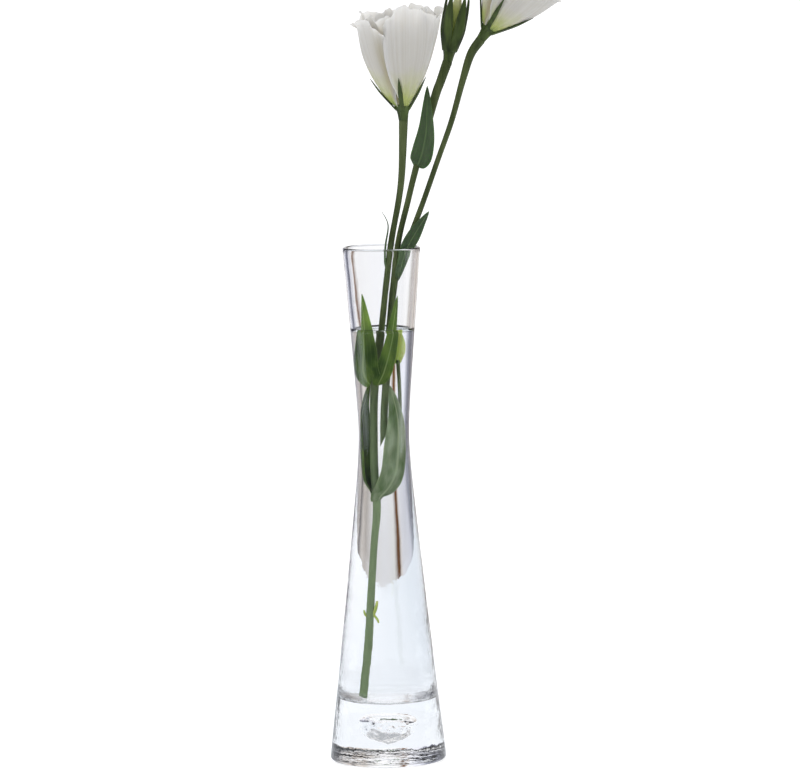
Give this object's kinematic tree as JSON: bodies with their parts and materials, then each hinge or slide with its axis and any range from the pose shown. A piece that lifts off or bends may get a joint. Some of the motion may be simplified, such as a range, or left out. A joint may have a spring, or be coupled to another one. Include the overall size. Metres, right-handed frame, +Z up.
{
  "type": "glass bud vase with cut flower sprays",
  "caption": "Tall waisted clear glass bud vase, flared at foot and lip, with a solid foot that traps an air bubble; it holds lift-out cut flower sprays.",
  "frame": {"origin": "centre of the foot's flat underside, on the vase's axis", "axes": "+Z up along the vase's axis, +X across the vase towards the side the sprays lean to, +Y away from its front"},
  "size_m": [0.1338, 0.0671, 0.4431],
  "materials": {
    "clear_glass": "clear, fire polished, colourless",
    "stem_green": "satin plant stem, stands in for living tissue",
    "leaf_green": "waxy leaf, darker above and paler below",
    "young_green": "pale young shoot",
    "calyx_green": "dark satin sepals",
    "petal_white": "soft translucent petal, yellow-green at its foot",
    "pistil_green": "satin",
    "anther_yellow": "powdery"
  },
  "bodies": {
    "vase": {"vase_glass": "clear_glass"},
    "long_spray": {"long_stem": "stem_green", "stem_stubs": "young_green", "lower_leaf_left": "leaf_green", "lower_leaf_right": "leaf_green", "side_shoot": "stem_green", "side_shoot_leaf": "young_green", "upper_leaf_left": "leaf_green", "upper_leaf_right": "leaf_green", "rim_bract": "leaf_green", "left_calyx": "calyx_green", "left_petals": "petal_white", "left_pistil": "pistil_green", "left_stamens": "anther_yellow"},
    "short_spray": {"short_stem": "stem_green", "bloom_stalk": "stem_green", "rim_leaf": "leaf_green", "bud_stalk_leaf": "leaf_green", "bud_calyx": "calyx_green", "bud_petals": "petal_white", "right_calyx": "calyx_green", "right_petals": "petal_white", "right_pistil": "pistil_green", "right_stamens": "anther_yellow"}
  },
  "joints": [
    {"name": "long_spray_lift", "type": "slide", "parent": "vase", "child": "long_spray", "axis": [0.0499, 0.0499, 0.9975], "range_m": [0, 0.27]},
    {"name": "short_spray_lift", "type": "slide", "parent": "long_spray", "child": "short_spray", "axis": [0.0595, 0.1189, 0.9911], "range_m": [0, 0.11]}
  ]
}
